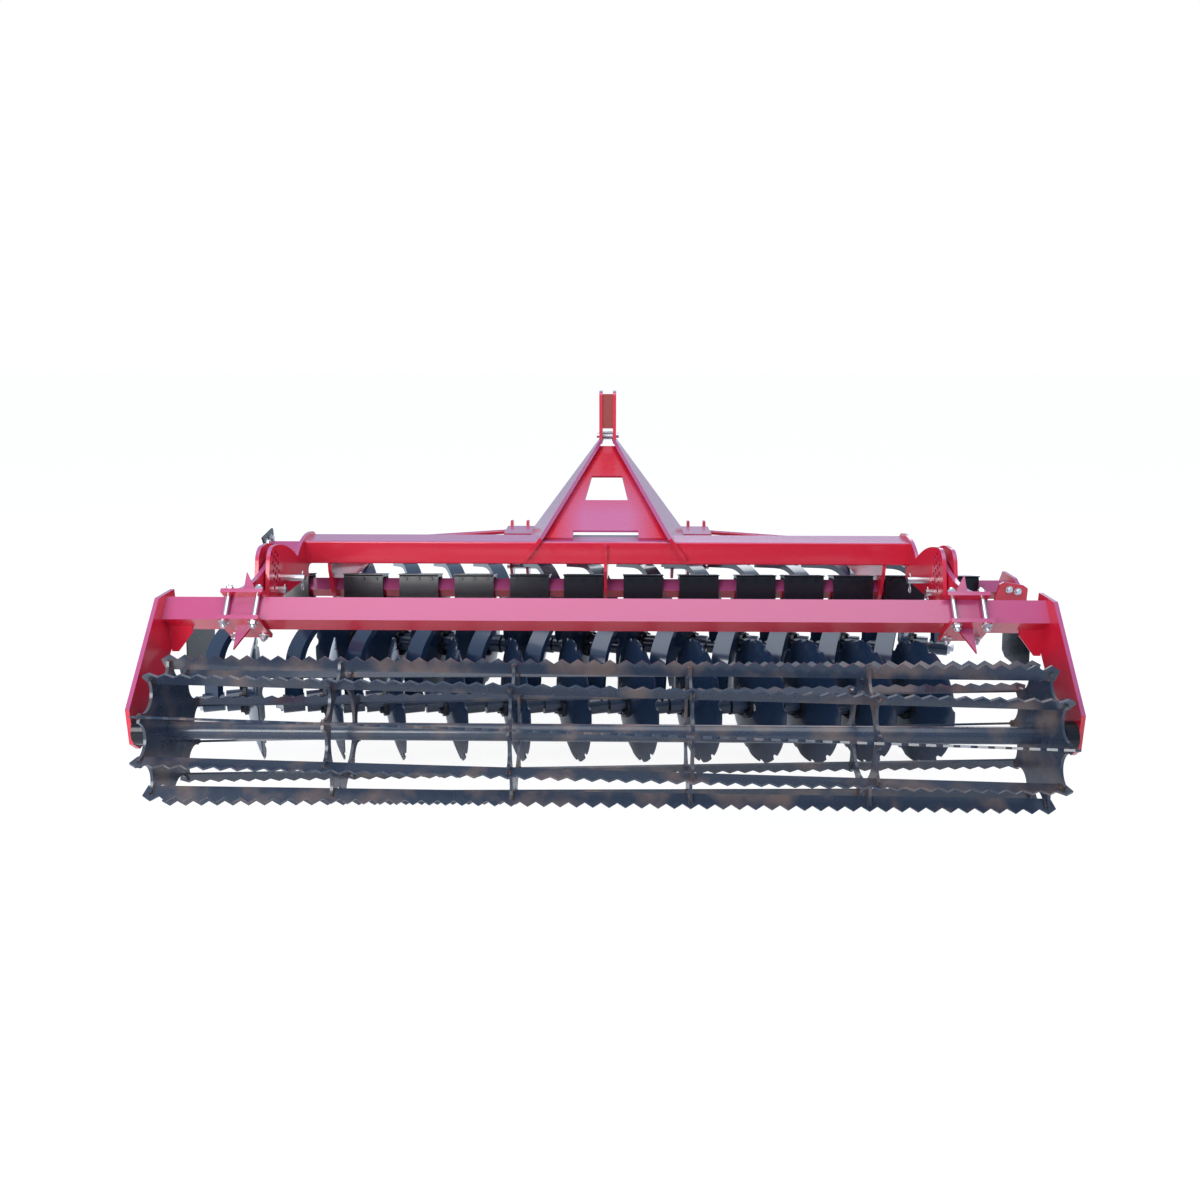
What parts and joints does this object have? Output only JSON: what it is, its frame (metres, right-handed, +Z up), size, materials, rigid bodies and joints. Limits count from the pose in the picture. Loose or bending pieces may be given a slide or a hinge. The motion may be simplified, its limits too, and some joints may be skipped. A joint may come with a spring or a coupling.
{
  "type": "mounted disc harrow",
  "caption": "Red and black mounted compact disc harrow with two rows of notched discs and a toothed cage roller.",
  "frame": {"origin": "on the floor, in the middle of the machine's length and width", "axes": "+X to the right, +Y forward as it is pulled, +Z up"},
  "size_m": [3.582, 2.44, 1.436],
  "materials": {
    "red_paint": "gloss",
    "black_paint": "gloss",
    "roller_steel": "satin",
    "zinc": "satin",
    "cord_rubber": "matte"
  },
  "bodies": {
    "frame": {"main_tube": "red_paint", "rear_beam": "red_paint", "front_beam": "red_paint", "side_plate_left": "red_paint", "side_plate_right": "red_paint", "hangers": "red_paint", "mast_left": "red_paint", "mast_right": "red_paint", "mast_panel": "red_paint", "mast_filler": "red_paint", "mast_pin": "zinc", "hitch_bridges": "red_paint", "hitch_plates": "red_paint", "tie_rods": "red_paint", "hitch_pins": "zinc", "ear_pins": "zinc", "housings_rear": "black_paint", "housings_front": "black_paint", "cords": "cord_rubber", "arms_rear": "black_paint", "arms_front": "black_paint", "deflector_left": "black_paint", "deflector_right": "black_paint", "deflector_carriers": "red_paint"},
    "roller_frame": {"roller_beam": "red_paint", "roller_arm_left": "red_paint", "roller_arm_right": "red_paint", "clamp_left": "red_paint", "clamp_right": "red_paint", "bearings": "black_paint", "clamp_bolts": "zinc"},
    "roller": {"roller_tube": "roller_steel", "roller_end_plates": "roller_steel", "roller_rings": "roller_steel", "roller_bars": "roller_steel"},
    "disc_rear_01": {"disc_rear_01": "black_paint"},
    "disc_rear_02": {"disc_rear_02": "black_paint"},
    "disc_rear_03": {"disc_rear_03": "black_paint"},
    "disc_rear_04": {"disc_rear_04": "black_paint"},
    "disc_rear_05": {"disc_rear_05": "black_paint"},
    "disc_rear_06": {"disc_rear_06": "black_paint"},
    "disc_rear_07": {"disc_rear_07": "black_paint"},
    "disc_rear_08": {"disc_rear_08": "black_paint"},
    "disc_rear_09": {"disc_rear_09": "black_paint"},
    "disc_rear_10": {"disc_rear_10": "black_paint"},
    "disc_rear_11": {"disc_rear_11": "black_paint"},
    "disc_rear_12": {"disc_rear_12": "black_paint"},
    "disc_front_01": {"disc_front_01": "black_paint"},
    "disc_front_02": {"disc_front_02": "black_paint"},
    "disc_front_03": {"disc_front_03": "black_paint"},
    "disc_front_04": {"disc_front_04": "black_paint"},
    "disc_front_05": {"disc_front_05": "black_paint"},
    "disc_front_06": {"disc_front_06": "black_paint"},
    "disc_front_07": {"disc_front_07": "black_paint"},
    "disc_front_08": {"disc_front_08": "black_paint"},
    "disc_front_09": {"disc_front_09": "black_paint"},
    "disc_front_10": {"disc_front_10": "black_paint"},
    "disc_front_11": {"disc_front_11": "black_paint"},
    "disc_front_12": {"disc_front_12": "black_paint"}
  },
  "joints": [
    {"name": "roller_lift", "type": "hinge", "parent": "frame", "child": "roller_frame", "pos_m": [0, -0.2064, 0.759], "axis": [-1, 0, 0], "range_deg": [0, 18]},
    {"name": "roller_spin", "type": "hinge", "parent": "roller_frame", "child": "roller", "pos_m": [0, -0.9604, 0.405], "axis": [1, 0, 0], "continuous": true},
    {"name": "disc_rear_01_spin", "type": "hinge", "parent": "frame", "child": "disc_rear_01", "pos_m": [-1.6, -0.3004, 0.255], "axis": [0.9511, 0.309, 0], "continuous": true},
    {"name": "disc_rear_02_spin", "type": "hinge", "parent": "frame", "child": "disc_rear_02", "pos_m": [-1.27, -0.3004, 0.255], "axis": [0.9511, 0.309, 0], "continuous": true},
    {"name": "disc_rear_03_spin", "type": "hinge", "parent": "frame", "child": "disc_rear_03", "pos_m": [-1.025, -0.3004, 0.255], "axis": [0.9511, 0.309, 0], "continuous": true},
    {"name": "disc_rear_04_spin", "type": "hinge", "parent": "frame", "child": "disc_rear_04", "pos_m": [-0.78, -0.3004, 0.255], "axis": [0.9511, 0.309, 0], "continuous": true},
    {"name": "disc_rear_05_spin", "type": "hinge", "parent": "frame", "child": "disc_rear_05", "pos_m": [-0.535, -0.3004, 0.255], "axis": [0.9511, 0.309, 0], "continuous": true},
    {"name": "disc_rear_06_spin", "type": "hinge", "parent": "frame", "child": "disc_rear_06", "pos_m": [-0.298, -0.3004, 0.255], "axis": [0.9511, 0.309, 0], "continuous": true},
    {"name": "disc_rear_07_spin", "type": "hinge", "parent": "frame", "child": "disc_rear_07", "pos_m": [-0.035, -0.3004, 0.255], "axis": [0.9511, 0.309, 0], "continuous": true},
    {"name": "disc_rear_08_spin", "type": "hinge", "parent": "frame", "child": "disc_rear_08", "pos_m": [0.21, -0.3004, 0.255], "axis": [0.9511, 0.309, 0], "continuous": true},
    {"name": "disc_rear_09_spin", "type": "hinge", "parent": "frame", "child": "disc_rear_09", "pos_m": [0.46, -0.3004, 0.255], "axis": [0.9511, 0.309, 0], "continuous": true},
    {"name": "disc_rear_10_spin", "type": "hinge", "parent": "frame", "child": "disc_rear_10", "pos_m": [0.67, -0.3004, 0.255], "axis": [0.9511, 0.309, 0], "continuous": true},
    {"name": "disc_rear_11_spin", "type": "hinge", "parent": "frame", "child": "disc_rear_11", "pos_m": [0.885, -0.3004, 0.255], "axis": [0.9511, 0.309, 0], "continuous": true},
    {"name": "disc_rear_12_spin", "type": "hinge", "parent": "frame", "child": "disc_rear_12", "pos_m": [1.11, -0.3004, 0.255], "axis": [0.9511, 0.309, 0], "continuous": true},
    {"name": "disc_front_01_spin", "type": "hinge", "parent": "frame", "child": "disc_front_01", "pos_m": [-1.11, 0.4996, 0.255], "axis": [-0.9511, 0.309, 0], "continuous": true},
    {"name": "disc_front_02_spin", "type": "hinge", "parent": "frame", "child": "disc_front_02", "pos_m": [-0.885, 0.4996, 0.255], "axis": [-0.9511, 0.309, 0], "continuous": true},
    {"name": "disc_front_03_spin", "type": "hinge", "parent": "frame", "child": "disc_front_03", "pos_m": [-0.67, 0.4996, 0.255], "axis": [-0.9511, 0.309, 0], "continuous": true},
    {"name": "disc_front_04_spin", "type": "hinge", "parent": "frame", "child": "disc_front_04", "pos_m": [-0.46, 0.4996, 0.255], "axis": [-0.9511, 0.309, 0], "continuous": true},
    {"name": "disc_front_05_spin", "type": "hinge", "parent": "frame", "child": "disc_front_05", "pos_m": [-0.21, 0.4996, 0.255], "axis": [-0.9511, 0.309, 0], "continuous": true},
    {"name": "disc_front_06_spin", "type": "hinge", "parent": "frame", "child": "disc_front_06", "pos_m": [0.035, 0.4996, 0.255], "axis": [-0.9511, 0.309, 0], "continuous": true},
    {"name": "disc_front_07_spin", "type": "hinge", "parent": "frame", "child": "disc_front_07", "pos_m": [0.298, 0.4996, 0.255], "axis": [-0.9511, 0.309, 0], "continuous": true},
    {"name": "disc_front_08_spin", "type": "hinge", "parent": "frame", "child": "disc_front_08", "pos_m": [0.535, 0.4996, 0.255], "axis": [-0.9511, 0.309, 0], "continuous": true},
    {"name": "disc_front_09_spin", "type": "hinge", "parent": "frame", "child": "disc_front_09", "pos_m": [0.78, 0.4996, 0.255], "axis": [-0.9511, 0.309, 0], "continuous": true},
    {"name": "disc_front_10_spin", "type": "hinge", "parent": "frame", "child": "disc_front_10", "pos_m": [1.025, 0.4996, 0.255], "axis": [-0.9511, 0.309, 0], "continuous": true},
    {"name": "disc_front_11_spin", "type": "hinge", "parent": "frame", "child": "disc_front_11", "pos_m": [1.27, 0.4996, 0.255], "axis": [-0.9511, 0.309, 0], "continuous": true},
    {"name": "disc_front_12_spin", "type": "hinge", "parent": "frame", "child": "disc_front_12", "pos_m": [1.6, 0.4996, 0.255], "axis": [-0.9511, 0.309, 0], "continuous": true}
  ]
}
